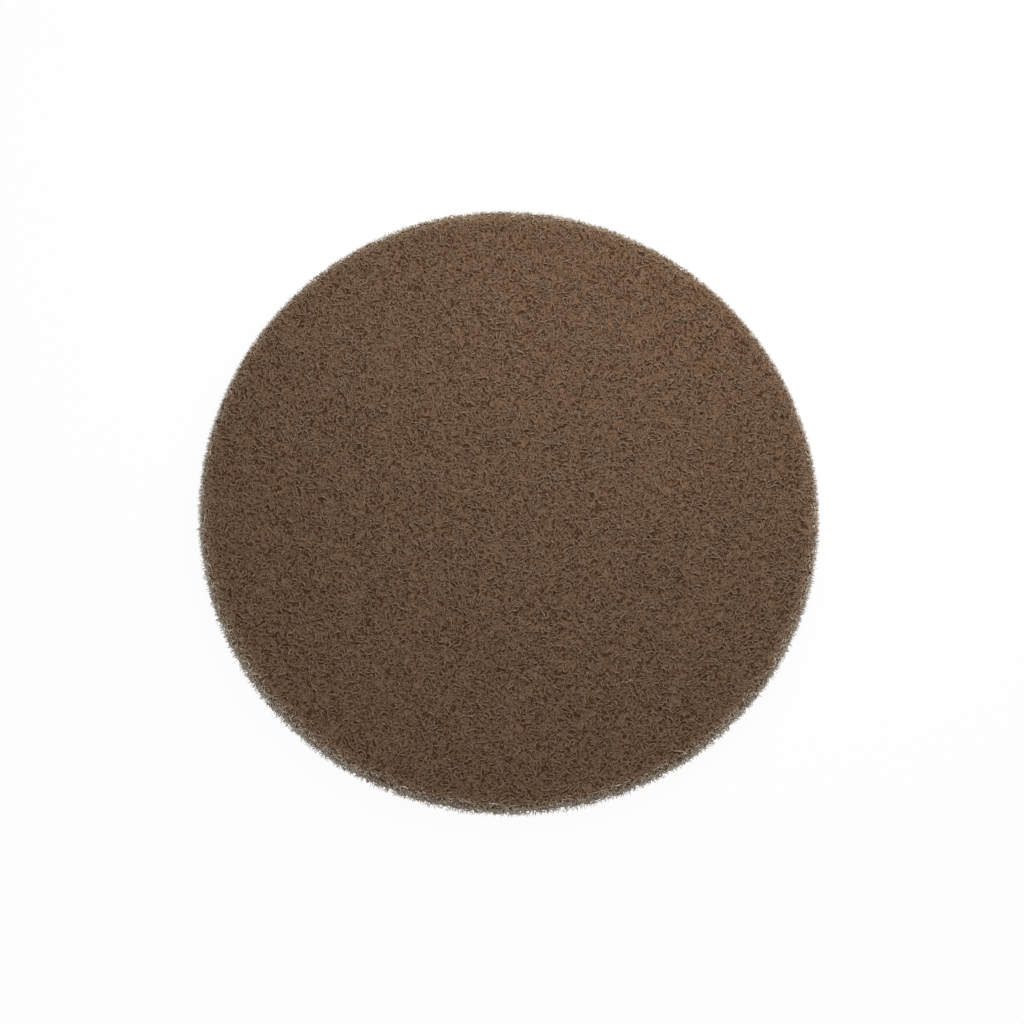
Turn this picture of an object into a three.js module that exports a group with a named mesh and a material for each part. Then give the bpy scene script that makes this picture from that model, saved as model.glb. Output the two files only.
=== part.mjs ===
// Surface conditioning disc: one round pad of springy non-woven web, cut from the sheet by a die.
// Millimetres, +Z up. The origin is on the disc's axis, in the plane of the flat back it lies on.
import * as THREE from "three";

// The whole disc
const BACK_DIAMETER = 125; // across the edge of the back, where the disc is widest
const WEB_THICKNESS = 6; // from the flat back to the flat working face

// The cut edge, from the back to the working face
const BACK_EDGE_ROUND = 0.5; // radius of the edge round the back
const CUT_TAPER = 0.4; // how far the wall leans in towards the axis on its way up
const WALL_HOLLOW = 0.2; // how far the middle of the wall draws in once the die lets the web go
const RIM_ROUND_WIDTH = 1.6; // how far in from the wall the working face starts to roll over
const RIM_ROUND_DEPTH = 1.2; // how far down the wall that roll-over reaches

// The outline, which a springy web never keeps quite round
const LOBE_COUNT = 3;
const LOBE_HEIGHT = 0.27; // how far each lobe stands out from a true circle
const FIRST_LOBE_ANGLE = THREE.MathUtils.degToRad(107); // from +X towards +Y

// Fineness of the curved surfaces
const STEPS_AROUND = 144;
const STEPS_PER_CURVE = 4;

// The finish of the bonded fibres
const WEB_BROWN = 0x604c3c;
const WEB_ROUGHNESS = 0.95;

const RIGHT_ANGLE = Math.PI / 2;

// Half the disc's section, x from the axis and y up from the back, drawn from the middle of the
// back, out and up round the cut edge, to the middle of the working face.
function halfSection() {
  const backRadius = BACK_DIAMETER / 2;
  const shoulderRadius = backRadius - CUT_TAPER;
  const shoulderHeight = WEB_THICKNESS - RIM_ROUND_DEPTH;
  const wallMiddle = new THREE.Vector2(backRadius, BACK_EDGE_ROUND)
    .add(new THREE.Vector2(shoulderRadius, shoulderHeight))
    .divideScalar(2);

  const section = new THREE.Path();
  section.moveTo(0, 0);
  section.lineTo(backRadius - BACK_EDGE_ROUND, 0);
  section.absarc(
    backRadius - BACK_EDGE_ROUND,
    BACK_EDGE_ROUND,
    BACK_EDGE_ROUND,
    -RIGHT_ANGLE,
    0,
  );
  // A quadratic curve passes half-way between its chord and its control point.
  section.quadraticCurveTo(
    wallMiddle.x - 2 * WALL_HOLLOW,
    wallMiddle.y,
    shoulderRadius,
    shoulderHeight,
  );
  section.absellipse(
    shoulderRadius - RIM_ROUND_WIDTH,
    shoulderHeight,
    RIM_ROUND_WIDTH,
    RIM_ROUND_DEPTH,
    0,
    RIGHT_ANGLE,
  );
  section.lineTo(0, WEB_THICKNESS);
  return section.getPoints(STEPS_PER_CURVE);
}

// Turns the true circle of a lathed disc into the lobed outline, and keeps every height. Each
// point moves in step with its distance from the axis, so the flat faces stay flat.
function addLobes(geometry) {
  const points = geometry.getAttribute("position");
  for (let i = 0; i < points.count; i += 1) {
    const angle = Math.atan2(points.getY(i), points.getX(i));
    const lobe = Math.cos(LOBE_COUNT * (angle - FIRST_LOBE_ANGLE));
    const stretch = 1 + (LOBE_HEIGHT * lobe) / (BACK_DIAMETER / 2);
    points.setXY(i, points.getX(i) * stretch, points.getY(i) * stretch);
  }
}

function makeWebDisc() {
  const geometry = new THREE.LatheGeometry(halfSection(), STEPS_AROUND);
  geometry.rotateX(RIGHT_ANGLE);
  addLobes(geometry);
  geometry.computeVertexNormals();

  const material = new THREE.MeshStandardMaterial({
    color: WEB_BROWN,
    roughness: WEB_ROUGHNESS,
    metalness: 0,
  });
  const webDisc = new THREE.Mesh(geometry, material);
  webDisc.name = "web_disc";
  return webDisc;
}

const surfaceConditioningDisc = new THREE.Group();
surfaceConditioningDisc.add(makeWebDisc());

export default surfaceConditioningDisc;
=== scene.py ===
import math

import bpy
from bpy.props import FloatProperty, FloatVectorProperty, IntProperty, PointerProperty
from mathutils import Matrix, Vector, noise
from mathutils.bvhtree import BVHTree


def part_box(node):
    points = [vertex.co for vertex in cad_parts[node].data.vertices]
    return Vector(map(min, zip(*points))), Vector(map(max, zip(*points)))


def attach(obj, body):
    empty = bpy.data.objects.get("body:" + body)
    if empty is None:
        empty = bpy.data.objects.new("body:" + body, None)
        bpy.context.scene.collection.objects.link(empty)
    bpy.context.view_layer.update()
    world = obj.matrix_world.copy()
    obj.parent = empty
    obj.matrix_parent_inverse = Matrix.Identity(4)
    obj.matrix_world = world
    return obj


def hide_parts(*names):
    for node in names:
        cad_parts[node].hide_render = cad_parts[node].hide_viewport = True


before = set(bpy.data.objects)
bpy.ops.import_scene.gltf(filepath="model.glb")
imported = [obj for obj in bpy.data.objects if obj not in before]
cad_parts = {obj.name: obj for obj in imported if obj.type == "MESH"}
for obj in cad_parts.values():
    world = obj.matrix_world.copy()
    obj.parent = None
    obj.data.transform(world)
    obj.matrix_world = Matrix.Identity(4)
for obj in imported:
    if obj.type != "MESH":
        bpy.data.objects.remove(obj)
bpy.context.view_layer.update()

bl_info = {
    "name": "Surface Conditioning Disc",
    "version": (1, 0, 0),
    "blender": (4, 5, 0),
    "location": "View3D > Sidebar > Disc",
    "description": "Makes the crimped fibres and the packed body of a non-woven surface conditioning disc",
    "category": "Object",
}

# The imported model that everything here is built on
DISC_NODE = "web_disc"
BODY = "root"
DISC_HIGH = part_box(DISC_NODE)[1]
DISC_HEIGHT = DISC_HIGH.z

FULL_TURN = 2.0 * math.pi
RING_GROWTH = 6  # how many more points a ring of a flat face has than the ring inside it
MM = 0.001
PER_CM2 = 1e4  # turns a number for each square centimetre into one for each square metre

# The rim is painted palest, as painted light, from this radius outwards, just inside the widest part of
# the edge
RIM_RADIUS = DISC_HIGH.x - 0.3 * MM

# Every piece comes with a UV map of this name, which the export keeps where it can bake through it
TONE_MAP = "OFBake"

# The grid of the surface that fibres are laid on, in front and on the back
CARRIER_GRID = 0.9 * MM
CARRIER_BACK_GRID = 1.5 * MM

# From the seed of one piece to the next one's. A piece draws from its seed and the two after it.
SEED_STEP = 10

# The picture is square, with this many pixels to a side
PICTURE_PIXELS = 1024.0


def srgb(red, green, blue):
    """A colour given in 0 to 255 screen values, as the linear numbers that a shader takes."""
    linear = []
    for value in (red, green, blue):
        share = value / 255.0
        linear.append(share / 12.92 if share <= 0.04045 else ((share + 0.055) / 1.055) ** 2.4)
    return tuple(linear)


# Settings that a user would change


class FinishSettings(bpy.types.PropertyGroup):
    """The colours of the resin and grit on the fibres, from the shut-in ones to the fresh cut ends, with
    painted shade at the dark end and painted light at the pale end.
    """

    # Painted shade: the packed body is painted this dark in its pits and in the gaps between its strands.
    pit_shade_colour: FloatVectorProperty(
        name="Pit", description="Colour in the bottom of the pits between fibres",
        default=srgb(52, 28, 13), size=3, min=0.0, max=1.0, subtype="COLOR",
    )
    # Painted shade: strands that lie deep in the mat are painted darker towards this colour.
    shaded_deep_colour: FloatVectorProperty(
        name="Deep Fibre", description="Colour of the fibres that lie deep in the mat",
        default=srgb(92, 65, 43), size=3, min=0.0, max=1.0, subtype="COLOR",
    )
    mid_colour: FloatVectorProperty(
        name="Web", description="Colour of most fibres",
        default=srgb(123, 97, 76), size=3, min=0.0, max=1.0, subtype="COLOR",
    )
    # Painted light: fibres that are painted paler where they rise and round the rim reach this colour.
    lit_crown_colour: FloatVectorProperty(
        name="Crown", description="Colour of the palest fibres on top of the mat",
        default=srgb(137, 113, 92), size=3, min=0.0, max=1.0, subtype="COLOR",
    )
    # Painted light: this colour paints the rim's fibres paler, where the rim catches more light from all
    # round.
    rim_light_colour: FloatVectorProperty(
        name="Rim Light Fibre", description="Colour of the fibres that handling has worn paler round the rim",
        default=srgb(163, 141, 119), size=3, min=0.0, max=1.0, subtype="COLOR",
    )
    # Partly the pale bare fibre of the cut, partly painted light: the painted rim, foot and tip lightening
    # runs up into this colour.
    cut_and_lit_colour: FloatVectorProperty(
        name="Cut End", description="Colour of fibre that the die has laid bare at the edge",
        default=srgb(214, 201, 185), size=3, min=0.0, max=1.0, subtype="COLOR",
    )


class BodySettings(bpy.types.PropertyGroup):
    """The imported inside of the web, which shows as the ground between the fibres."""

    face_grid: FloatProperty(
        name="Face Grid", description="Distance between mesh points on the working face",
        default=0.7 * MM, min=0.1 * MM, subtype="DISTANCE",
    )
    back_grid: FloatProperty(
        name="Back Grid", description="Distance between mesh points on the back",
        default=1.1 * MM, min=0.1 * MM, subtype="DISTANCE",
    )
    sink: FloatProperty(
        name="Sink", description="How far the packed body lies under the disc's outer faces",
        default=0.5 * MM, min=0.0, subtype="DISTANCE",
    )
    relief: FloatProperty(
        name="Relief", description="How far its hollows and humps leave that depth",
        default=0.1 * MM, min=0.0, subtype="DISTANCE",
    )
    relief_pitch: FloatProperty(
        name="Relief Pitch", description="Distance from one hollow to the next",
        default=1.6 * MM, min=0.1 * MM, subtype="DISTANCE",
    )
    edge_sink: FloatProperty(
        name="Edge Sink", description="How far it lies under the cut edge",
        default=0.65 * MM, min=0.0, subtype="DISTANCE",
    )
    pit_pitch: FloatProperty(
        name="Pit Pitch", description="Distance from one small open pit between the fibres to the next",
        default=0.58 * MM, min=0.1 * MM, subtype="DISTANCE",
    )
    pit_depth: FloatProperty(
        name="Pit Depth", description="How far fibres dive where they meet a pit",
        default=0.4 * MM, min=0.0, subtype="DISTANCE",
    )
    strand_pitch: FloatProperty(
        name="Strand Pitch", description="Distance between the strands of one of its felted layers",
        default=0.72 * MM, min=0.1 * MM, subtype="DISTANCE",
    )


class FibreSettings(bpy.types.PropertyGroup):
    """The fibre itself, alike all over the disc."""

    thickness: FloatProperty(
        name="Thickness", description="Diameter of a fibre with its coat of resin and grit",
        default=0.26 * MM, min=0.02 * MM, subtype="DISTANCE",
    )
    lumps: FloatProperty(
        name="Lumps", description="Share by which the coat makes a fibre thicker and thinner",
        default=0.4, min=0.0, max=0.9, subtype="FACTOR",
    )
    grit: FloatProperty(
        name="Grit", description="How much the tone of the coat changes from place to place on a fibre",
        default=0.09, min=0.0, max=0.5, subtype="FACTOR",
    )
    crimp_angle: FloatProperty(
        name="Crimp Angle", description="How far a fibre's run turns to either side",
        default=math.radians(120.0), min=0.0, subtype="ANGLE",
    )
    crimp_pitch: FloatProperty(
        name="Crimp Pitch", description="Length of fibre from one turn to the next",
        default=2.4 * MM, min=0.1 * MM, subtype="DISTANCE",
    )
    dive_pitch: FloatProperty(
        name="Dive Pitch", description="Length of fibre from where it comes up to where it dives",
        default=0.7 * MM, min=0.1 * MM, subtype="DISTANCE",
    )
    step: FloatProperty(
        name="Step", description="Length of one straight stretch of the fibre's mesh",
        default=0.33 * MM, min=0.05 * MM, subtype="DISTANCE",
    )


class FaceSettings(bpy.types.PropertyGroup):
    """The open mat of fibres on the working face, in layers from deep to high."""

    layers: IntProperty(name="Layers", description="How many layers the mat is made in", default=4, min=1)
    per_cm2: FloatProperty(
        name="Fibres per cm2", description="Fibres in a square centimetre of one layer",
        default=30.0, min=0.0,
    )
    steps: IntProperty(name="Steps", description="Straight stretches in one fibre", default=6, min=2)
    depth: FloatProperty(
        name="Depth", description="How deep the lowest layer lies under the highest",
        default=0.16 * MM, min=0.0, subtype="DISTANCE",
    )
    rise: FloatProperty(
        name="Rise", description="How far a fibre rises and dips on its way",
        default=0.3 * MM, min=0.0, subtype="DISTANCE",
    )
    seed: IntProperty(name="Seed", description="Another number lays the fibres another way", default=11)


class EdgeSettings(bpy.types.PropertyGroup):
    """The edge that the die has cut, with the ends of its fibres."""

    per_cm2: FloatProperty(
        name="Fibres per cm2", description="Fibres that lie along a square centimetre of the edge",
        default=86.0, min=0.0,
    )
    ends_per_cm2: FloatProperty(
        name="Ends per cm2", description="Cut fibre ends in a square centimetre of the edge",
        default=380.0, min=0.0,
    )
    inlay: FloatProperty(
        name="Inlay", description="How deep in the web a cut fibre is followed",
        default=0.27 * MM, min=0.0, subtype="DISTANCE",
    )
    fringe: FloatProperty(
        name="Fringe", description="How far the longest ends stand out of the edge",
        default=0.32 * MM, min=0.0, subtype="DISTANCE",
    )
    # Painted light: the fibres on this rim are painted paler, where the rim catches more light.
    pale_width: FloatProperty(
        name="Pale Width", description="Width of the rim on which the fibres are rubbed paler",
        default=3.3 * MM, min=0.0, subtype="DISTANCE",
    )
    seed: IntProperty(name="Seed", description="Another number lays the fibres another way", default=71)


class BackSettings(bpy.types.PropertyGroup):
    """The flat back, whose fibres are fewer and lie flatter than those of the face."""

    per_cm2: FloatProperty(
        name="Fibres per cm2", description="Fibres in a square centimetre of the back",
        default=16.0, min=0.0,
    )
    steps: IntProperty(name="Steps", description="Straight stretches in one fibre", default=8, min=2)
    seed: IntProperty(name="Seed", description="Another number lays the fibres another way", default=131)


class StageSettings(bpy.types.PropertyGroup):
    """The camera's place and the light."""

    distance: FloatProperty(
        name="Camera Distance", description="From the camera to the middle of the disc",
        default=0.9, min=0.1, subtype="DISTANCE",
    )
    elevation: FloatProperty(
        name="Elevation", description="How far the camera looks down on the disc",
        default=math.radians(75.4), subtype="ANGLE",
    )
    roll: FloatProperty(
        name="Roll", description="How far the camera is turned round its own line of sight",
        default=math.radians(8.75), subtype="ANGLE",
    )
    view_width: FloatProperty(
        name="View Width", description="What the picture spans at the disc",
        default=206.6 * MM, min=0.01, subtype="DISTANCE",
    )
    key_place: FloatVectorProperty(
        name="Key Place", description="Where the large soft lamp hangs, behind the disc on the right",
        default=(0.03, 0.108, 0.148), size=3, subtype="TRANSLATION",
    )
    key_size: FloatProperty(
        name="Key Size", description="Diameter of the large soft lamp",
        default=0.14, min=0.01, subtype="DISTANCE",
    )
    key_power: FloatProperty(
        name="Key Power", description="Power of the large soft lamp",
        default=0.25, min=0.0,
    )
    sky_strength: FloatProperty(
        name="Sky", description="Strength of the light from all round",
        default=0.55, min=0.0,
    )


# Building node trees


class Nodes:
    """Adds nodes to one tree. A number, colour or socket given for an input is set or linked."""

    PER_ROW = 10
    SPACING = (190.0, -230.0)

    def __init__(self, tree):
        self.tree = tree
        self.count = 0

    def add(self, kind, inputs=None, **settings):
        node = self.tree.nodes.new(kind)
        column, row = self.count % self.PER_ROW, self.count // self.PER_ROW
        node.location = (column * self.SPACING[0], row * self.SPACING[1])
        self.count += 1
        for name, value in settings.items():
            setattr(node, name, value)
        for key, value in (inputs or {}).items():
            socket = node.inputs[key]
            if isinstance(value, bpy.types.NodeSocket):
                self.tree.links.new(value, socket)
            else:
                socket.default_value = value
        return node

    def math(self, operation, *values):
        return self.add("ShaderNodeMath", dict(enumerate(values)), operation=operation).outputs[0]

    def vector(self, operation, *values):
        inputs = dict(enumerate(values))
        if operation == "SCALE":
            inputs["Scale"] = inputs.pop(1)
        node = self.add("ShaderNodeVectorMath", inputs, operation=operation)
        return node.outputs["Value" if operation == "LENGTH" else "Vector"]

    def combine(self, x, y, z):
        return self.add("ShaderNodeCombineXYZ", {0: x, 1: y, 2: z}).outputs[0]

    def separate(self, vector):
        return self.add("ShaderNodeSeparateXYZ", {0: vector}).outputs

    def clouds(self, vector, scale=1.0, detail=0.0):
        """Smooth noise from 0 to 1, mostly near a half."""
        inputs = {"Vector": vector, "Scale": scale, "Detail": detail}
        return self.add("ShaderNodeTexNoise", inputs).outputs["Fac"]

    def remap(self, value, source, target=(0.0, 1.0), **settings):
        """Carries value from the range in source to the range in target, and stops at its ends."""
        return self.add("ShaderNodeMapRange", {
            "Value": value,
            "From Min": source[0], "From Max": source[1],
            "To Min": target[0], "To Max": target[1],
        }, **settings).outputs[0]

    def wave(self, vector):
        """A smooth random number from about -1 to 1 that changes along vector."""
        return self.remap(self.clouds(vector), (0.25, 0.75), (-1.0, 1.0))

    def chance(self, low, high, number, seed):
        """A random number from low to high for each point."""
        inputs = {2: low, 3: high, "ID": number, "Seed": seed}
        return self.add("FunctionNodeRandomValue", inputs).outputs[1]

    def three_chances(self, number, seed):
        """Three random numbers from 0 to 1 for each point."""
        inputs = {0: (0.0, 0.0, 0.0), 1: (1.0, 1.0, 1.0), "ID": number, "Seed": seed}
        return self.add("FunctionNodeRandomValue", inputs, data_type="FLOAT_VECTOR").outputs[0]


def geometry_tree(name, inputs):
    """A new node tree that takes a geometry, a material and these: name, default and subtype."""
    tree = bpy.data.node_groups.new(name, "GeometryNodeTree")
    tree.interface.new_socket(name="Geometry", in_out="INPUT", socket_type="NodeSocketGeometry")
    for label, default, subtype in inputs:
        kind = "NodeSocketInt" if isinstance(default, int) else "NodeSocketFloat"
        socket = tree.interface.new_socket(name=label, in_out="INPUT", socket_type=kind)
        socket.subtype = subtype
        socket.default_value = default
    tree.interface.new_socket(name="Material", in_out="INPUT", socket_type="NodeSocketMaterial")
    tree.interface.new_socket(name="Geometry", in_out="OUTPUT", socket_type="NodeSocketGeometry")
    return tree


def capture(nodes, geometry, **fields):
    """Keeps each field's value on the points. Returns the geometry and the kept fields by name."""
    node = nodes.add("GeometryNodeCaptureAttribute", {"Geometry": geometry})
    for name, field in fields.items():
        node.capture_items.new("FLOAT" if field.type == "VALUE" else "VECTOR", name)
        nodes.tree.links.new(field, node.inputs[name])
    return node.outputs["Geometry"], {name: node.outputs[name] for name in fields}


# The form of the disc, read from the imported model


class DiscForm:
    """Finds the disc's radius at any height and in any direction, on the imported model's own surface."""

    SKIN = 1e-6  # how far inside the flat faces their edge is looked for
    SECTION_ANGLE = 0.001  # where the section is taken, just off the mesh's first edge
    FINE_ROWS = 400

    def __init__(self, node):
        mesh = node.data
        points = [vertex.co for vertex in mesh.vertices]
        self.surface = BVHTree.FromPolygons(points, [face.vertices for face in mesh.polygons])

    def radius(self, angle, height):
        start = Vector((0.0, 0.0, min(max(height, self.SKIN), DISC_HEIGHT - self.SKIN)))
        outwards = Vector((math.cos(angle), math.sin(angle), 0.0))
        distance = self.surface.ray_cast(start, outwards)[3]
        if distance is None:
            raise RuntimeError(f"the packed disc has no wall at {math.degrees(angle):.1f} degrees")
        return distance

    def wall_heights(self, spacing):
        """Heights down the cut edge, evenly spaced along its section, with both flat faces' edges."""
        heights = [DISC_HEIGHT * (1.0 - row / self.FINE_ROWS) for row in range(self.FINE_ROWS + 1)]
        section = [Vector((self.radius(self.SECTION_ANGLE, height), height)) for height in heights]
        along = [0.0]
        for before, after in zip(section, section[1:]):
            along.append(along[-1] + (after - before).length)
        rows = max(2, round(along[-1] / spacing))
        chosen = []
        fine = 0
        for row in range(rows + 1):
            while fine < self.FINE_ROWS and along[fine] < along[-1] * row / rows - self.SKIN:
                fine += 1
            chosen.append(heights[fine])
        return chosen


def bridge(faces, first, first_count, second, second_count):
    """Joins two rings of points, which start at the same angle, by one band of triangles."""
    a = first_count if first_count == 1 else 0
    b = second_count if second_count == 1 else 0
    while a < first_count or b < second_count:
        on_first = first + a % first_count
        on_second = second + b % second_count
        if b >= second_count or (a < first_count and (a + 1) * second_count <= (b + 1) * first_count):
            faces.append((on_first, on_second, first + (a + 1) % first_count))
            a += 1
        else:
            faces.append((on_first, on_second, second + (b + 1) % second_count))
            b += 1


def disc_mesh(name, face_grid, back_grid):
    """A closed mesh of the disc's outer form with even triangles, finer in front than at the back."""
    form = DiscForm(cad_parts[DISC_NODE])
    points, faces, rings = [], [], []

    def add_ring(count, radius_at, height):
        rings.append((len(points), count))
        for step in range(count):
            angle = FULL_TURN * (step + 0.5) / count
            radius = radius_at(angle)
            points.append((radius * math.cos(angle), radius * math.sin(angle), height))

    def add_flat(height, grid, outwards):
        edge = form.radius(form.SECTION_ANGLE, height)
        last = round(edge / grid)
        steps = range(1, last) if outwards else range(last - 1, 0, -1)
        for step in steps:
            share = step / last
            add_ring(RING_GROWTH * step, lambda angle: share * form.radius(angle, height), height)

    heights = form.wall_heights(face_grid)
    around = RING_GROWTH * round(form.radius(form.SECTION_ANGLE, heights[0]) / face_grid)
    add_ring(1, lambda angle: 0.0, DISC_HEIGHT)
    add_flat(DISC_HEIGHT, face_grid, True)
    for height in heights:
        add_ring(around, lambda angle: form.radius(angle, height), height)
    add_flat(0.0, back_grid, False)
    add_ring(1, lambda angle: 0.0, 0.0)
    for (first, first_count), (second, second_count) in zip(rings, rings[1:]):
        bridge(faces, first, first_count, second, second_count)
    mesh = bpy.data.meshes.new(name)
    mesh.from_pydata(points, [], faces)
    mesh.validate()
    mesh.update()
    return mesh


def peel_map(mesh):
    """Spreads the mesh on a square: the face and the cut edge as one disc, the back as another."""
    height = mesh.vertices[0].co.z
    reach = max(vertex.co.xy.length for vertex in mesh.vertices)
    low, downwards = 0.3 * height, -0.8
    face_place, face_radius = 0.36, 0.34
    back_place, back_radius = 0.79, 0.19
    layer = mesh.uv_layers.new(name=TONE_MAP)
    for face in mesh.polygons:
        on_back = face.center.z < low and face.normal.z < downwards
        for loop in face.loop_indices:
            point = mesh.vertices[mesh.loops[loop].vertex_index].co
            flat = point.xy
            if on_back:
                share = flat.length / reach * back_radius
                place = back_place
            else:
                share = (flat.length + max(0.0, height - point.z)) / (reach + height) * face_radius
                place = face_place
            way = flat.normalized() if flat.length else flat
            layer.data[loop].uv = (place + share * way.x, place + share * way.y)


def press_in(mesh, body):
    """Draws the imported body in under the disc's outer form, with hollows and humps."""
    swing = 1.6
    coarse, fine, fine_scale = 0.65, 0.35, 2.3
    off_floor = 0.15 * MM
    normals = [vertex.normal.copy() for vertex in mesh.vertices]
    for vertex, normal in zip(mesh.vertices, normals):
        place = vertex.co / body.relief_pitch
        hump = coarse * noise.noise(place) + fine * noise.noise(fine_scale * place)
        level = abs(normal.z)
        sink = level * body.sink + (1.0 - level) * body.edge_sink
        vertex.co -= normal * (sink - swing * body.relief * hump)
        vertex.co.z = max(vertex.co.z, off_floor)


# Materials


def shader(name):
    """A new material, its nodes and its surface shader."""
    material = bpy.data.materials.new(name)
    material.use_nodes = True
    nodes = Nodes(material.node_tree)
    principled = next(node for node in material.node_tree.nodes if node.type == "BSDF_PRINCIPLED")
    return material, nodes, principled


def tone_ramp(nodes, fac, finish):
    """Colours by tone: 0 is the bottom of a pit and 1 a fresh cut end. Painted shade lowers the tone and
    painted light raises it.
    """
    ramp = nodes.add("ShaderNodeValToRGB", {"Fac": fac})
    stops = (
        (0.0, finish.pit_shade_colour),
        (0.28, finish.shaded_deep_colour),
        (0.54, finish.mid_colour),
        (0.7, finish.lit_crown_colour),
        (0.87, finish.rim_light_colour),
        (1.0, finish.cut_and_lit_colour),
    )
    elements = ramp.color_ramp.elements
    while len(elements) < len(stops):
        elements.new(0.5)
    for element, (place, colour) in zip(elements, stops):
        element.position = place
        element.color = (*colour, 1.0)
    return ramp.outputs["Color"]


def fibre_material(finish):
    """Resin and grit on a fibre. The map's first number is the tone, its second runs along the fibre."""
    material, nodes, principled = shader("coated_fibre")
    place = nodes.add("ShaderNodeUVMap", uv_map=TONE_MAP).outputs["UV"]
    tone = nodes.separate(place)[0]
    colour = tone_ramp(nodes, tone, finish)
    nodes.tree.links.new(colour, principled.inputs["Base Color"])
    pit_roughness, cut_roughness = 0.9, 0.68
    roughness = nodes.remap(tone, (0.0, 1.0), (pit_roughness, cut_roughness))
    nodes.tree.links.new(roughness, principled.inputs["Roughness"])
    principled.inputs["Specular IOR Level"].default_value = 0.3
    return material


def rim_share(nodes, place, radius, width):
    """How far a place lies in the rim that is painted paler as painted light: 0 inside it and 1 at this
    radius.
    """
    x, y, _ = nodes.separate(place)
    from_axis = nodes.vector("LENGTH", nodes.combine(x, y, 0.0))
    inner = nodes.math("SUBTRACT", radius, width)
    return nodes.remap(from_axis, (inner, radius), interpolation_type="SMOOTHSTEP")


def pits(nodes, place, pitch):
    """Small open pits scattered through the web. 1 is the middle of a pit, 0 away from all of them."""
    brink, bottom = 0.412, 0.342
    place = nodes.vector("SCALE", place, nodes.math("DIVIDE", 1.0, pitch))
    return nodes.remap(nodes.clouds(place), (brink, bottom), interpolation_type="SMOOTHSTEP")


def felt(nodes, place, pitch, layers):
    """Curly strands in layers that cross and dive under one another. 1 is a strand's back, 0 a gap."""
    half_width, detail = 0.075, 0.5
    layer_shift = (0.31, 0.17, 0.23)
    dive_scale, dive_range, deepest = 0.7, (0.3, 0.65), 0.3
    height = None
    for layer in range(layers):
        shift = tuple(number * (layer + 1) for number in layer_shift)
        own_place = nodes.vector("ADD", place, shift)
        field = nodes.clouds(own_place, 1.0 / pitch, detail)
        off_line = nodes.math("ABSOLUTE", nodes.math("SUBTRACT", field, 0.5))
        line = nodes.remap(off_line, (half_width, 0.0), interpolation_type="SMOOTHSTEP")
        level = nodes.remap(nodes.clouds(own_place, dive_scale / pitch), dive_range, (deepest, 1.0))
        strand = nodes.math("MULTIPLY", line, level)
        height = strand if height is None else nodes.math("MAXIMUM", height, strand)
    return height


def body_material(finish, body, edge):
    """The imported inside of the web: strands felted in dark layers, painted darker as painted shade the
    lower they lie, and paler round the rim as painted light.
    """
    layers = 6
    heights, tones = (0.04, 0.64), (0.09, 0.545)
    painted_rim_light = 0.3
    material, nodes, principled = shader("packed_web")
    place = nodes.add("ShaderNodeTexCoord").outputs["Object"]
    closed = nodes.math("SUBTRACT", 1.0, pits(nodes, place, body.pit_pitch))
    height = nodes.math("MULTIPLY", felt(nodes, place, body.strand_pitch, layers), closed)
    rim = rim_share(nodes, place, RIM_RADIUS, edge.pale_width)
    # Painted shade: the lower the felt, the darker it is painted, down to the pit colour in gaps and pits.
    # Painted light: the rim is painted paler.
    tone = nodes.math("MULTIPLY_ADD", rim, painted_rim_light, nodes.remap(height, heights, tones))
    nodes.tree.links.new(tone_ramp(nodes, tone, finish), principled.inputs["Base Color"])
    principled.inputs["Roughness"].default_value = 0.95
    principled.inputs["Specular IOR Level"].default_value = 0.2
    bump = nodes.add("ShaderNodeBump", {"Strength": 0.9, "Distance": 0.16 * MM, "Height": height})
    nodes.tree.links.new(bump.outputs["Normal"], principled.inputs["Normal"])
    return material


# Fibres


FIBRE_INPUTS = (
    ("Facing Least", 0.5, "NONE"),
    ("Facing Most", 1.0, "NONE"),
    ("Density", 1.0, "NONE"),
    ("Back Bias", 0.0, "FACTOR"),
    ("Steps", 11, "NONE"),
    ("Step", 0.4 * MM, "DISTANCE"),
    ("Thickness", 0.24 * MM, "DISTANCE"),
    ("Lumps", 0.3, "FACTOR"),
    ("Grit", 0.1, "FACTOR"),
    ("Crimp Angle", 2.5, "ANGLE"),
    ("Crimp Pitch", 3.0 * MM, "DISTANCE"),
    ("Dive Pitch", 1.5 * MM, "DISTANCE"),
    ("Spread", math.pi, "ANGLE"),
    ("Lift", 0.0, "DISTANCE"),
    ("Rise", 0.2 * MM, "DISTANCE"),
    ("Overrun", 0.3 * MM, "DISTANCE"),
    ("Pit Pitch", 1.15 * MM, "DISTANCE"),
    ("Pit Depth", 0.5 * MM, "DISTANCE"),
    ("Tone", 0.55, "NONE"),
    ("Tone Spread", 0.12, "NONE"),
    # Painted light: these paint fibres paler where they rise, round the rim and at the foot of the edge,
    # and the crown one darker where they dip.
    ("Painted Crown Light", 0.05, "NONE"),
    ("Painted Rim Light", 0.0, "NONE"),
    ("Painted Foot Light", 0.0, "NONE"),
    ("Rim Radius", 60.0 * MM, "DISTANCE"),
    ("Rim Width", 2.0 * MM, "DISTANCE"),
    ("Height", 6.0 * MM, "DISTANCE"),
    ("Seed", 0, "NONE"),
)


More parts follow.
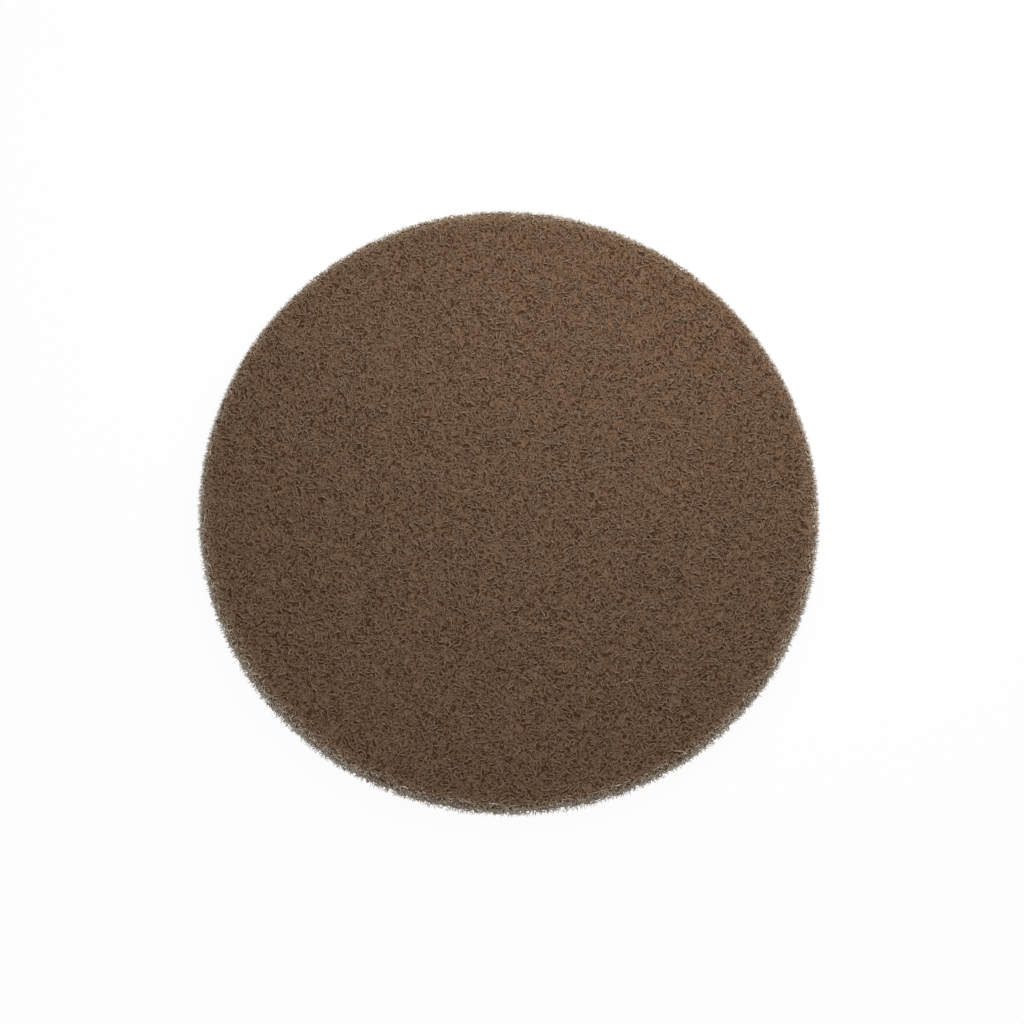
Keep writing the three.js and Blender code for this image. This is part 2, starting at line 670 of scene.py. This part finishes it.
class FibreTree(Nodes):
    """A tree that grows fibres on the surface it is given. What its stages share is kept on it."""

    LANES = 400.0  # the lanes of noise are spread over this many wavelengths

    def __init__(self, name):
        super().__init__(geometry_tree(name, FIBRE_INPUTS))
        self.given = self.add("NodeGroupInput").outputs
        self.plant()

    def signed(self, chance):
        """A number from 0 to 1, spread from -1 to 1."""
        return self.math("MULTIPLY_ADD", chance, 2.0, -1.0)

    def plant(self):
        """One strand of points for each fibre, on the part of the surface that faces the right way."""
        given = self.given
        place = self.add("GeometryNodeInputPosition").outputs[0]
        facing = self.separate(self.add("GeometryNodeInputNormal").outputs["Normal"])[2]
        chosen = self.math("MULTIPLY", self.math("GREATER_THAN", facing, given["Facing Least"]),
                           self.math("LESS_THAN", facing, given["Facing Most"]))
        self.patch = self.add("GeometryNodeSeparateGeometry", {
            "Geometry": given["Geometry"], "Selection": chosen,
        }, domain="FACE").outputs["Selection"]
        height = self.math("DIVIDE", self.separate(place)[2], given["Height"])
        thinning = self.math("MULTIPLY_ADD", self.math("MULTIPLY", height, given["Back Bias"]), -1.0, 1.0)
        roots = self.add("GeometryNodeDistributePointsOnFaces", {
            "Mesh": self.patch, "Density": self.math("MULTIPLY", given["Density"], thinning),
            "Seed": given["Seed"],
        })
        number = self.add("GeometryNodeInputIndex").outputs[0]
        points, kept = capture(
            self, roots.outputs["Points"],
            root=place,
            normal=roots.outputs["Normal"],
            run=self.three_chances(number, self.math("ADD", given["Seed"], 1.0)),
            make=self.three_chances(number, self.math("ADD", given["Seed"], 2.0)),
        )
        self.root, self.normal = kept["root"], kept["normal"]
        first_lane, second_lane, self.heading_chance = self.separate(kept["run"])
        self.tone_chance, self.thickness_chance, self.height_chance = self.separate(kept["make"])
        strand = self.add("GeometryNodeCurvePrimitiveLine").outputs[0]
        strand = self.add("GeometryNodeResampleCurve", {
            "Curve": strand, "Count": self.math("ADD", given["Steps"], 1.0),
        }).outputs[0]
        planted = self.add("GeometryNodeInstanceOnPoints", {
            "Points": points, "Instance": strand,
        }).outputs[0]
        self.strands = self.add("GeometryNodeRealizeInstances", {"Geometry": planted}).outputs[0]

        # How far along its fibre a point is, and the fibre's own lanes of smooth noise
        index = self.add("GeometryNodeSplineParameter").outputs["Index"]
        run = self.math("MULTIPLY", index, given["Step"])
        lane_y = self.math("MULTIPLY", first_lane, self.LANES)
        lane_z = self.math("MULTIPLY", second_lane, self.LANES)
        self.lane = self.combine(self.math("DIVIDE", run, given["Crimp Pitch"]), lane_y, lane_z)
        self.dive_lane = self.combine(self.math("DIVIDE", run, given["Dive Pitch"]), lane_z, lane_y)

        # Two directions in the surface: level, and up or down it
        x, y, _ = self.separate(self.root)
        self.level = self.vector("NORMALIZE", self.combine(self.math("MULTIPLY", y, -1.0), x, 0.0))
        self.slope = self.vector("CROSS_PRODUCT", self.normal, self.level)

    def heading(self):
        """The direction of each stretch in the surface. It drifts along the fibre, which crimps it."""
        first = self.math("MULTIPLY", self.signed(self.heading_chance), self.given["Spread"])
        return self.math("MULTIPLY_ADD", self.wave(self.lane), self.given["Crimp Angle"], first)

    def turned(self, first, second, angle):
        """The direction that lies this angle away from the first, towards the second."""
        return self.vector("ADD", self.vector("SCALE", first, self.math("COSINE", angle)),
                           self.vector("SCALE", second, self.math("SINE", angle)))

    def walk(self, direction):
        """How far each point has come from the fibre's first, and the sum of all its steps."""
        step = self.vector("SCALE", direction, self.given["Step"])
        curve = self.add("GeometryNodeCurveOfPoint").outputs["Curve Index"]
        made = self.add("GeometryNodeAccumulateField", {
            "Value": step, "Group ID": curve,
        }, data_type="FLOAT_VECTOR").outputs
        return made["Trailing"], made["Total"]

    def settle(self, place, **fields):
        """Moves the points, keeps them over the floor, and keeps fields as they are before the move."""
        x, y, z = self.separate(place)
        place = self.combine(x, y, self.math("MAXIMUM", z, self.given["Thickness"]))
        self.strands, kept = capture(self, self.strands, place=place, **fields)
        self.strands = self.add("GeometryNodeSetPosition", {
            "Geometry": self.strands, "Position": kept["place"],
        }).outputs[0]
        return kept

    def drop(self, selection, domain):
        """Takes away the chosen points, or whole fibres with the domain CURVE."""
        self.strands = self.add("GeometryNodeDeleteGeometry", {
            "Geometry": self.strands, "Selection": selection,
        }, domain=domain).outputs[0]

    def coat_radius(self, factor):
        """Half the fibre's thickness at this share of its length, with its lumps and thinner ends."""
        end_loss, end_power = 0.45, 6.0
        lumps_per_crimp = 3.1
        thinnest, variety = 0.75, 0.5
        from_middle = self.math("ABSOLUTE", self.signed(factor))
        taper = self.math("MULTIPLY_ADD", self.math("POWER", from_middle, end_power), -end_loss, 1.0)
        lane = self.vector("SCALE", self.lane, lumps_per_crimp)
        lump = self.math("MULTIPLY_ADD", self.wave(lane), self.given["Lumps"], 1.0)
        stoutness = self.math("MULTIPLY_ADD", self.thickness_chance, variety, thinnest)
        half = self.math("MULTIPLY", self.given["Thickness"], 0.5)
        shape = self.math("MULTIPLY", lump, taper)
        return self.math("MULTIPLY", shape, self.math("MULTIPLY", half, stoutness))

    def coat_tone(self, tone):
        """The tone with what the fibre and each bit of grit add to it, and with the painted light on the
        rim and at the foot of the edge.
        """
        given = self.given
        foot_from, foot_to = 0.6, 0.1
        place = self.add("GeometryNodeInputPosition").outputs[0]
        rim = rim_share(self, place, given["Rim Radius"], given["Rim Width"])
        height = self.math("DIVIDE", self.separate(place)[2], given["Height"])
        # Painted light: the foot of the edge is painted paler towards the floor, where it gets less light.
        foot = self.remap(height, (foot_from, foot_to), (0.0, given["Painted Foot Light"]))
        own = self.math("MULTIPLY", self.signed(self.tone_chance), given["Tone Spread"])
        number = self.add("GeometryNodeInputIndex").outputs[0]
        grain = self.math("MULTIPLY", self.chance(-1.0, 1.0, number, given["Seed"]), given["Grit"])
        tone = self.math("ADD", self.math("ADD", tone, own), self.math("ADD", foot, grain))
        # Painted light: the rim is painted paler.
        return self.math("MULTIPLY_ADD", rim, given["Painted Rim Light"], tone)

    def finish(self, tone):
        """Tubes with a lumpy coat and tapered ends, coloured by tone."""
        given = self.given
        factor = self.add("GeometryNodeSplineParameter").outputs["Factor"]
        radius = self.coat_radius(factor)
        strands, kept = capture(self, self.strands, tone=self.coat_tone(tone), along=factor)
        profile = self.add("GeometryNodeCurvePrimitiveCircle", {"Resolution": 3}).outputs[0]
        round_tube = self.add("GeometryNodeSplineParameter").outputs["Factor"]
        profile, ring = capture(self, profile, side=round_tube)
        tubes = self.add("GeometryNodeCurveToMesh", {
            "Curve": strands, "Profile Curve": profile, "Scale": radius, "Fill Caps": True,
        }).outputs[0]

        # The sides of a tube lie a little apart on the map, so that each face covers some of it
        side_width, side_bow, margin = 0.02, 0.01, 0.005
        across = self.math("MULTIPLY_ADD", ring["side"], side_width, kept["tone"])
        across = self.math("MINIMUM", self.math("MAXIMUM", across, margin), 1.0 - margin)
        bow = self.math("MULTIPLY", ring["side"], ring["side"])
        down = self.math("MULTIPLY_ADD", bow, side_bow, kept["along"])
        tubes = self.add("GeometryNodeStoreNamedAttribute", {
            "Geometry": tubes, "Name": TONE_MAP, "Value": self.combine(across, down, 0.0),
        }, data_type="FLOAT2", domain="CORNER").outputs[0]
        tubes = self.add("GeometryNodeSetShadeSmooth", {"Geometry": tubes}).outputs[0]
        tubes = self.add("GeometryNodeRealizeInstances", {"Geometry": tubes}).outputs[0]
        tubes = self.add("GeometryNodeSetMaterial", {
            "Geometry": tubes, "Material": given["Material"],
        }).outputs[0]
        self.add("NodeGroupOutput", {"Geometry": tubes})
        return self.tree


def laid_fibres_tree():
    """Fibres that wander over the surface they are given, rise and dip, and end where it ends."""
    least_vigour, extra_vigour, vigour_power = 0.7, 0.8, 3.0
    fewest_points = 3.0
    nodes = FibreTree("laid_fibres")
    given = nodes.given
    come, total = nodes.walk(nodes.turned(nodes.level, nodes.slope, nodes.heading()))
    from_middle = nodes.vector("SUBTRACT", come, nodes.vector("SCALE", total, 0.5))
    strayed = nodes.vector("ADD", nodes.root, from_middle)
    nearest = nodes.add("GeometryNodeProximity", {
        "Target": nodes.patch, "Source Position": strayed,
    }).outputs
    normal = nodes.add("GeometryNodeSampleNearestSurface", {
        "Mesh": nodes.patch, "Value": nodes.add("GeometryNodeInputNormal").outputs["Normal"],
        "Sample Position": strayed,
    }, data_type="FLOAT_VECTOR").outputs["Value"]
    swell = nodes.wave(nodes.dive_lane)
    chance = nodes.math("POWER", nodes.height_chance, vigour_power)
    vigour = nodes.math("MULTIPLY_ADD", chance, extra_vigour, least_vigour)
    rise = nodes.math("MULTIPLY", nodes.math("MULTIPLY", swell, vigour), given["Rise"])
    pit = nodes.math("MULTIPLY", pits(nodes, nearest["Position"], given["Pit Pitch"]), given["Pit Depth"])
    climb = nodes.math("SUBTRACT", nodes.math("ADD", rise, given["Lift"]), pit)
    laid = nodes.vector("ADD", nearest["Position"], nodes.vector("SCALE", normal, climb))
    kept = nodes.settle(laid, past=nearest["Distance"], swell=swell)
    nodes.drop(nodes.math("GREATER_THAN", kept["past"], given["Overrun"]), "POINT")
    left = nodes.add("GeometryNodeSplineLength").outputs["Point Count"]
    nodes.drop(nodes.math("LESS_THAN", left, fewest_points), "CURVE")
    # Painted light and shade: a fibre is painted paler where it rises and darker where it dips.
    return nodes.finish(nodes.math("MULTIPLY_ADD", kept["swell"], given["Painted Crown Light"], given["Tone"]))


def cut_ends_tree():
    """Short fibres that come up out of the surface, lean along it and stop short or stand proud."""
    top_shortening, top_fringe_loss = 0.25, 0.65
    reach_power, tip_power = 1.3, 2.0
    nodes = FibreTree("cut_ends")
    given = nodes.given
    lean = nodes.math("MULTIPLY", nodes.wave(nodes.lane), given["Crimp Angle"])
    aside = nodes.turned(nodes.level, nodes.slope, nodes.heading())
    come, _ = nodes.walk(nodes.turned(nodes.normal, aside, lean))
    height = nodes.math("DIVIDE", nodes.separate(nodes.root)[2], given["Height"])
    come = nodes.vector("SCALE", come, nodes.math("MULTIPLY_ADD", height, -top_shortening, 1.0))
    fringe = nodes.math("MULTIPLY_ADD", height, -top_fringe_loss, 1.0)
    longest = nodes.math("MULTIPLY", given["Rise"], fringe)
    chance = nodes.math("POWER", nodes.height_chance, reach_power)
    reach = nodes.math("MULTIPLY_ADD", chance, longest, given["Lift"])
    place = nodes.vector("ADD", nodes.vector("ADD", nodes.root, come),
                         nodes.vector("SCALE", nodes.normal, reach))
    nodes.settle(place)
    factor = nodes.add("GeometryNodeSplineParameter").outputs["Factor"]
    # Painted light: each cut end is painted paler towards its tip.
    tip = nodes.math("MULTIPLY", nodes.math("POWER", factor, tip_power), given["Painted Crown Light"])
    return nodes.finish(nodes.math("ADD", tip, given["Tone"]))


def grown(name, carrier, tree, values):
    """What the tree makes on the carrier's surface, as a plain mesh object of this name."""
    piece = bpy.data.objects.new(name, carrier)
    bpy.context.scene.collection.objects.link(piece)
    modifier = piece.modifiers.new("Fibres", "NODES")
    modifier.node_group = tree
    identifiers = {
        item.name: item.identifier
        for item in tree.interface.items_tree
        if item.item_type == "SOCKET" and item.in_out == "INPUT"
    }
    for label, value in values.items():
        modifier[identifiers[label]] = value
    evaluated = piece.evaluated_get(bpy.context.evaluated_depsgraph_get())
    mesh = bpy.data.meshes.new_from_object(evaluated)
    piece.modifiers.remove(modifier)
    piece.data = mesh
    mesh.name = name
    if not mesh.polygons:
        raise RuntimeError(f"{name} came out with no faces")
    return piece


def belongs(piece):
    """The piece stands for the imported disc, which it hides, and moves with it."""
    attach(piece, BODY)
    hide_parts(DISC_NODE)


def carrier_mesh():
    """The surface that fibres are laid on, made once."""
    name = "fibre_carrier"
    if name not in bpy.data.meshes:
        disc_mesh(name, CARRIER_GRID, CARRIER_BACK_GRID).shade_smooth()
    return bpy.data.meshes[name]


def fibre_values(scene, own):
    """The inputs that every fibre tree takes from the settings, with the piece's own."""
    fibre, edge = scene.disc_fibre, scene.disc_edge
    shared = {
        "Step": fibre.step,
        "Thickness": fibre.thickness,
        "Lumps": fibre.lumps,
        "Grit": fibre.grit,
        "Crimp Angle": fibre.crimp_angle,
        "Crimp Pitch": fibre.crimp_pitch,
        "Dive Pitch": fibre.dive_pitch,
        "Pit Pitch": scene.disc_body.pit_pitch,
        "Pit Depth": scene.disc_body.pit_depth,
        "Rim Radius": RIM_RADIUS,
        "Rim Width": edge.pale_width,
        "Height": DISC_HEIGHT,
        "Material": fibre_material(scene.disc_finish),
    }
    return shared | own


# The stage


def seen_directly(nodes):
    """1 for what the camera sees, also in a mirror or through glass, and 0 for the light's own paths."""
    path = nodes.add("ShaderNodeLightPath").outputs
    return nodes.math("MAXIMUM", path["Is Camera Ray"],
                      nodes.math("MAXIMUM", path["Is Glossy Ray"], path["Is Transmission Ray"]))


def make_floor(scene):
    """A wide white floor. The camera sees it white, with what is left of the disc's soft shadow."""
    half = 2.0
    paint = (0.9, 0.9, 0.9, 1.0)
    white_share = 0.95
    corners = [(-half, -half, 0.0), (half, -half, 0.0), (half, half, 0.0), (-half, half, 0.0)]
    mesh = bpy.data.meshes.new("floor")
    mesh.from_pydata(corners, [], [(0, 1, 2, 3)])
    material = bpy.data.materials.new("white_floor")
    material.use_nodes = True
    nodes = Nodes(material.node_tree)
    material.node_tree.nodes.clear()
    plain = nodes.add("ShaderNodeBsdfDiffuse", {"Color": paint}).outputs[0]
    white = nodes.add("ShaderNodeEmission", {"Strength": 1.0}).outputs[0]
    share = nodes.math("MULTIPLY", seen_directly(nodes), white_share)
    mix = nodes.add("ShaderNodeMixShader", {"Fac": share, 1: plain, 2: white}).outputs[0]
    nodes.add("ShaderNodeOutputMaterial", {"Surface": mix})
    mesh.materials.append(material)
    floor = bpy.data.objects.new("floor", mesh)
    scene.collection.objects.link(floor)


def make_light(scene, stage):
    """One large soft lamp behind the disc on the right, and a sky that fills the shadows."""
    lamp = bpy.data.lights.new("key", "AREA")
    lamp.shape = "DISK"
    lamp.size = stage.key_size
    lamp.energy = stage.key_power
    key = bpy.data.objects.new("key", lamp)
    key.location = stage.key_place
    key.rotation_euler = (-key.location).to_track_quat("-Z", "Y").to_euler()
    key.visible_camera = False
    scene.collection.objects.link(key)

    world = bpy.data.worlds.new("studio")
    world.use_nodes = True
    nodes = Nodes(world.node_tree)
    world.node_tree.nodes.clear()
    strength = nodes.remap(seen_directly(nodes), (0.0, 1.0), (stage.sky_strength, 1.0))
    sky = nodes.add("ShaderNodeBackground", {"Color": (1.0, 1.0, 1.0, 1.0), "Strength": strength})
    nodes.add("ShaderNodeOutputWorld", {"Surface": sky.outputs[0]})
    scene.world = world


def make_camera(scene, stage):
    """Looks down on the disc, from in front of it, with the picture turned a little."""
    # The disc's middle lies this many pixels left of the picture's middle, and above it
    pixels_left, pixels_up = 2.85, 3.6
    data = bpy.data.cameras.new("camera")
    data.lens = data.sensor_width * stage.distance / stage.view_width
    camera = bpy.data.objects.new("camera", data)
    scene.collection.objects.link(camera)
    back = Vector((0.0, -math.cos(stage.elevation), math.sin(stage.elevation)))
    right = Vector((1.0, 0.0, 0.0))
    above = back.cross(right)
    cos, sin = math.cos(stage.roll), math.sin(stage.roll)
    turned_right = cos * right + sin * above
    turned_above = cos * above - sin * right
    pixel = stage.view_width / PICTURE_PIXELS
    middle = Vector((0.0, 0.0, DISC_HEIGHT / 2))
    aim = middle + pixels_left * pixel * turned_right - pixels_up * pixel * turned_above
    turn = Matrix((turned_right, turned_above, back)).transposed().to_4x4()
    camera.matrix_world = Matrix.Translation(aim + stage.distance * back) @ turn
    scene.camera = camera


# Operators


class DISC_OT_packed_body(bpy.types.Operator):
    """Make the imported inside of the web, which shows between the fibres"""

    bl_idname = "conditioning_disc.packed_body"
    bl_label = "Packed Body"

    def execute(self, context):
        scene = context.scene
        body = scene.disc_body
        mesh = disc_mesh("packed_web", body.face_grid, body.back_grid)
        peel_map(mesh)
        press_in(mesh, body)
        mesh.shade_smooth()
        mesh.update()
        mesh.materials.append(body_material(scene.disc_finish, body, scene.disc_edge))
        piece = bpy.data.objects.new("packed_web", mesh)
        scene.collection.objects.link(piece)
        belongs(piece)
        return {"FINISHED"}


class DISC_OT_face_fibres(bpy.types.Operator):
    """Lay the crimped fibres of the working face, one layer over another"""

    bl_idname = "conditioning_disc.face_fibres"
    bl_label = "Face Fibres"

    def execute(self, context):
        face = context.scene.disc_face
        # Painted shade and light: the deeper layers are painted a little darker and the higher ones a
        # little paler.
        shaded_deep_tone, painted_light_rise = 0.56, 0.04
        tree = laid_fibres_tree()
        for layer in range(face.layers):
            height = layer / max(1, face.layers - 1)
            values = fibre_values(context.scene, {
                "Facing Least": 0.3,
                "Facing Most": 1.1,
                "Density": face.per_cm2 * PER_CM2,
                "Steps": face.steps,
                "Lift": -face.depth * (1.0 - height) - face.rise,
                "Rise": face.rise,
                "Overrun": 0.25 * MM,
                "Tone": shaded_deep_tone + painted_light_rise * height,
                "Tone Spread": 0.06,
                "Painted Crown Light": 0.05,
                "Painted Rim Light": 0.32,
                "Seed": face.seed + SEED_STEP * layer,
            })
            belongs(grown(f"face_fibres_{layer + 1}", carrier_mesh(), tree, values))
        return {"FINISHED"}


class DISC_OT_edge_fibres(bpy.types.Operator):
    """Lay fibres along the cut edge and set their cut ends in it"""

    bl_idname = "conditioning_disc.edge_fibres"
    bl_label = "Edge Fibres"

    def execute(self, context):
        scene = context.scene
        edge, fibre = scene.disc_edge, scene.disc_fibre
        end_thickness = 0.42
        laid = fibre_values(scene, {
            "Facing Least": -0.75,
            "Facing Most": 0.85,
            "Density": edge.per_cm2 * PER_CM2,
            "Steps": 8,
            "Lift": -0.14 * MM,
            "Rise": 0.25 * MM,
            "Overrun": 0.4 * MM,
            # Painted light: the edge's fibres are painted paler than the face's, and paler still round the
            # rim and at the foot, as the edge gets less light.
            "Tone": 0.67,
            "Tone Spread": 0.08,
            "Painted Crown Light": 0.05,
            "Painted Rim Light": 0.24,
            "Painted Foot Light": 0.2,
            "Seed": edge.seed,
        })
        belongs(grown("edge_fibres", carrier_mesh(), laid_fibres_tree(), laid))
        ends = fibre_values(scene, {
            "Facing Least": -0.75,
            "Facing Most": 0.75,
            "Density": edge.ends_per_cm2 * PER_CM2,
            "Back Bias": 0.3,
            "Steps": 3,
            "Step": 0.3 * MM,
            "Thickness": end_thickness * fibre.thickness,
            "Crimp Angle": math.radians(110.0),
            "Crimp Pitch": 1.4 * MM,
            "Lift": -edge.inlay,
            "Rise": edge.fringe,
            # Painted light: the cut ends are painted as pale as the edge's fibres, with paler tips.
            "Tone": 0.67,
            "Tone Spread": 0.06,
            "Painted Crown Light": 0.3,
            "Painted Rim Light": 0.24,
            "Painted Foot Light": 0.25,
            "Seed": edge.seed + SEED_STEP,
        })
        belongs(grown("cut_ends", carrier_mesh(), cut_ends_tree(), ends))
        return {"FINISHED"}


class DISC_OT_back_fibres(bpy.types.Operator):
    """Lay the flattened fibres of the back"""

    bl_idname = "conditioning_disc.back_fibres"
    bl_label = "Back Fibres"

    def execute(self, context):
        back = context.scene.disc_back
        values = fibre_values(context.scene, {
            "Facing Least": -1.1,
            "Facing Most": -0.6,
            "Density": back.per_cm2 * PER_CM2,
            "Steps": back.steps,
            "Lift": -0.34 * MM,
            "Rise": 0.1 * MM,
            "Overrun": 0.3 * MM,
            "Tone": 0.55,
            "Tone Spread": 0.14,
            # Painted light and shade: the back's fibres are painted paler where they rise and round the
            # rim, and darker where they dip.
            "Painted Crown Light": 0.08,
            "Painted Rim Light": 0.32,
            "Seed": back.seed,
        })
        belongs(grown("back_fibres", carrier_mesh(), laid_fibres_tree(), values))
        return {"FINISHED"}


class DISC_OT_stage(bpy.types.Operator):
    """Set up the pale floor, the soft light and the camera"""

    bl_idname = "conditioning_disc.stage"
    bl_label = "Stage"

    def execute(self, context):
        scene = context.scene
        stage = scene.disc_stage
        make_floor(scene)
        make_light(scene, stage)
        make_camera(scene, stage)
        scene.view_settings.view_transform = "Standard"
        return {"FINISHED"}


class DISC_PT_panel(bpy.types.Panel):
    """Lists what makes the disc"""

    bl_idname = "DISC_PT_panel"
    bl_label = "Surface Conditioning Disc"
    bl_space_type = "VIEW_3D"
    bl_region_type = "UI"
    bl_category = "Disc"

    def draw(self, context):
        for operator in OPERATORS:
            self.layout.operator(operator.bl_idname)


SETTINGS = {
    "disc_finish": FinishSettings,
    "disc_body": BodySettings,
    "disc_fibre": FibreSettings,
    "disc_face": FaceSettings,
    "disc_edge": EdgeSettings,
    "disc_back": BackSettings,
    "disc_stage": StageSettings,
}
OPERATORS = (
    DISC_OT_packed_body,
    DISC_OT_face_fibres,
    DISC_OT_edge_fibres,
    DISC_OT_back_fibres,
    DISC_OT_stage,
)


def register():
    for settings in SETTINGS.values():
        bpy.utils.register_class(settings)
    for name, settings in SETTINGS.items():
        setattr(bpy.types.Scene, name, PointerProperty(type=settings))
    for operator in OPERATORS:
        bpy.utils.register_class(operator)
    bpy.utils.register_class(DISC_PT_panel)


def unregister():
    bpy.utils.unregister_class(DISC_PT_panel)
    for operator in reversed(OPERATORS):
        bpy.utils.unregister_class(operator)
    for name in SETTINGS:
        delattr(bpy.types.Scene, name)
    for settings in reversed(SETTINGS.values()):
        bpy.utils.unregister_class(settings)


def main():
    """Makes the disc and its stage."""
    register()
    bpy.ops.conditioning_disc.packed_body()
    bpy.ops.conditioning_disc.face_fibres()
    bpy.ops.conditioning_disc.edge_fibres()
    bpy.ops.conditioning_disc.back_fibres()
    bpy.ops.conditioning_disc.stage()


if __name__ == "__main__":
    main()
